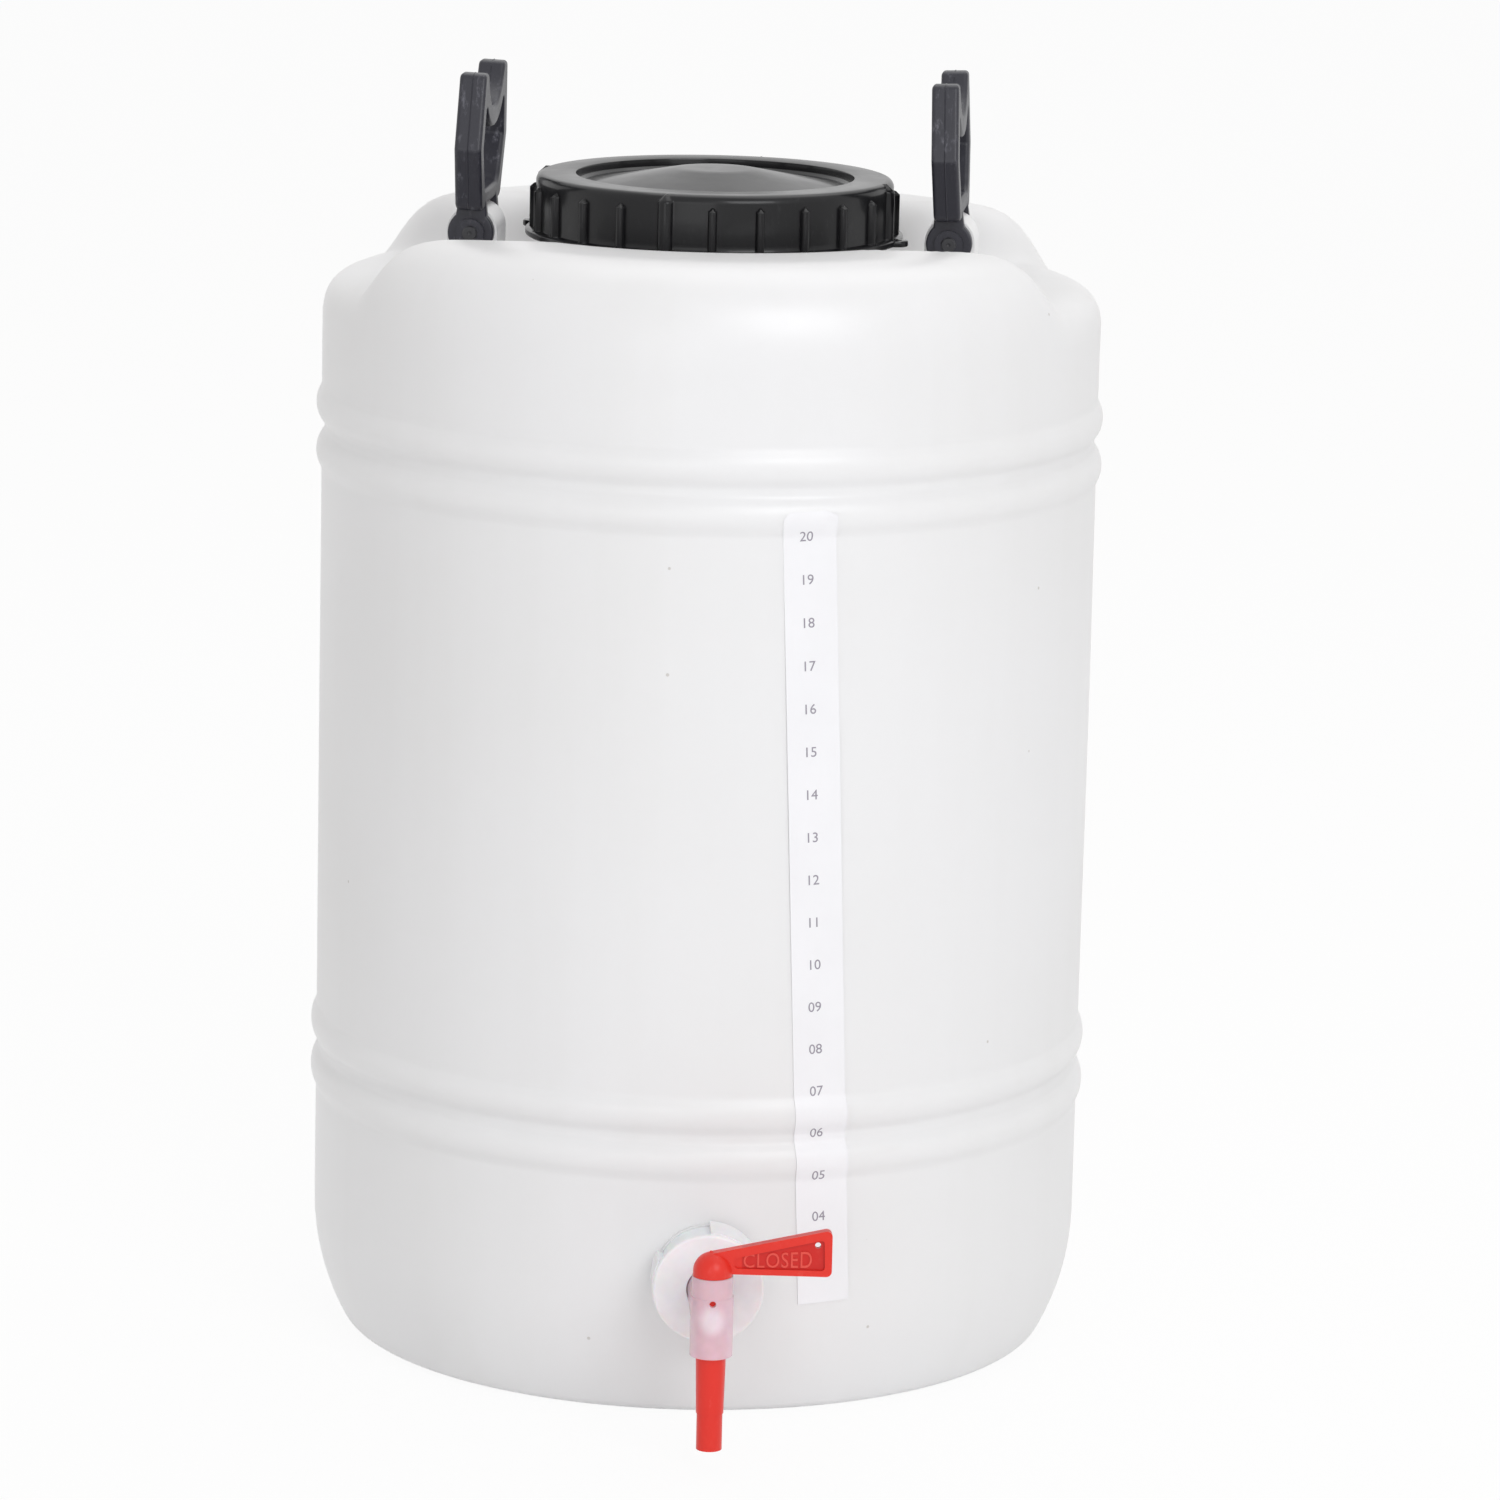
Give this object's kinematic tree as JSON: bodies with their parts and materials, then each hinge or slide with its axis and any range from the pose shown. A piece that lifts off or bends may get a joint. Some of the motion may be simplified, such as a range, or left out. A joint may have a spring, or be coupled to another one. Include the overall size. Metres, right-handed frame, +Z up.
{
  "type": "carboy with spigot",
  "caption": "Wide-neck plastic carboy with screw closure, fold-down handles, litre strip and a lever tap near the foot.",
  "frame": {"origin": "centre of the base on the drum's axis, on the plane it stands on", "axes": "+Z up along the drum's axis; the handles stand at -X and +X; the tap points to -Y, turned 3.2 degrees towards +X"},
  "size_m": [0.294, 0.3543, 0.4763],
  "materials": {
    "tank_plastic": "translucent natural polyethylene, satin",
    "tap_plastic": "white translucent polyethylene",
    "tap_sleeve": "clear natural polyethylene, glossy",
    "red_plastic": "red moulded plastic, semi-gloss",
    "strip_film": "white printed film",
    "lid_plastic": "black moulded plastic, glossy",
    "handle_plastic": "black moulded plastic, satin with light scuffs",
    "pin_plastic": "black plastic pin",
    "gasket_rubber": "pale sealing rubber"
  },
  "bodies": {
    "tank": {"tank": "tank_plastic", "outlet_nozzle": "tap_plastic", "nozzle_gasket": "gasket_rubber", "tap_cap": "tap_plastic", "tap_body": "tap_sleeve", "level_strip": "strip_film", "pin_left": "pin_plastic", "pin_right": "pin_plastic"},
    "tap_key": {"tap_key": "red_plastic"},
    "inner_lid": {"inner_lid": "lid_plastic", "lid_gasket": "gasket_rubber"},
    "screw_ring": {"screw_ring": "lid_plastic"},
    "handle_left": {"handle_left": "handle_plastic"},
    "handle_right": {"handle_right": "handle_plastic"}
  },
  "joints": [
    {"name": "key_turn", "type": "hinge", "parent": "tank", "child": "tap_key", "pos_m": [0.01116, -0.19969, 0.0565], "axis": [0, 0, 1], "range_deg": [-180, 0]},
    {"name": "lid_lift", "type": "slide", "parent": "tank", "child": "inner_lid", "axis": [0, 0, 1], "range_m": [0, 0.0211]},
    {"name": "ring_turn", "type": "hinge", "parent": "inner_lid", "child": "screw_ring", "pos_m": [0, 0, 0.43], "axis": [0, 0, 1], "range_deg": [0, 1080]},
    {"name": "left_handle_fold", "type": "hinge", "parent": "tank", "child": "handle_left", "pos_m": [-0.0885, 0, 0.4162], "axis": [-0.0819, -0.9966, 0], "range_deg": [-10, 90]},
    {"name": "right_handle_fold", "type": "hinge", "parent": "tank", "child": "handle_right", "pos_m": [0.0885, 0, 0.4162], "axis": [0.0819, 0.9966, 0], "range_deg": [-10, 90]}
  ],
  "couplings": [
    {"joint": "lid_lift", "follows": "ring_turn", "m_per_rad": 0.0011141}
  ]
}
